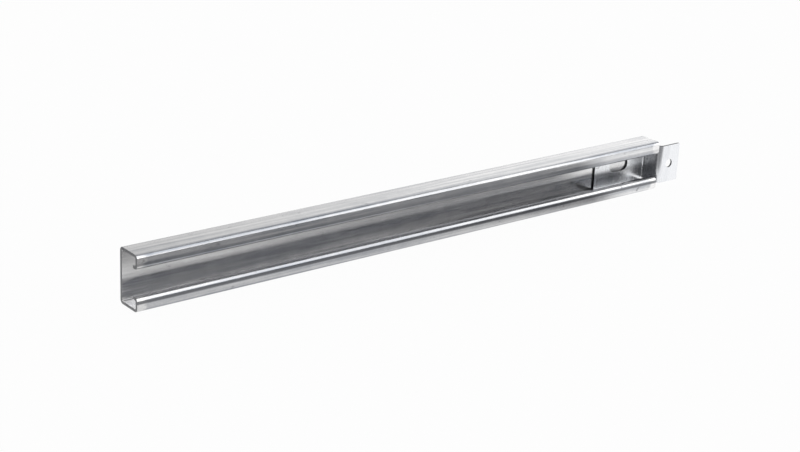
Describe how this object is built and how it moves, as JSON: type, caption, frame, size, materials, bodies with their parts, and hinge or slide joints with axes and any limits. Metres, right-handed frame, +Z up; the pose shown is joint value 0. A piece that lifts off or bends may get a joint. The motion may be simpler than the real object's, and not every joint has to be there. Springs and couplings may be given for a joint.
{
  "type": "c-profile rail",
  "caption": "Roll-formed zinc-coated C-profile rail with turned-in lips and a folded end bracket seated in its right end.",
  "frame": {"origin": "middle of the lower flange's outer face, halfway along the rail", "axes": "+X along the rail towards the end with the bracket, the slot between the lips faces -Y, the web's back faces +Y, +Z up"},
  "size_m": [0.5149, 0.022, 0.041],
  "materials": {
    "rail_zinc": "zinc-coated sheet, satin, with fine rolling lines along the rail",
    "bracket_zinc": "zinc-coated sheet, satin, with fine rolling lines across the bracket"
  },
  "bodies": {
    "root": {"c_rail": "rail_zinc", "end_bracket": "bracket_zinc"}
  },
  "joints": []
}
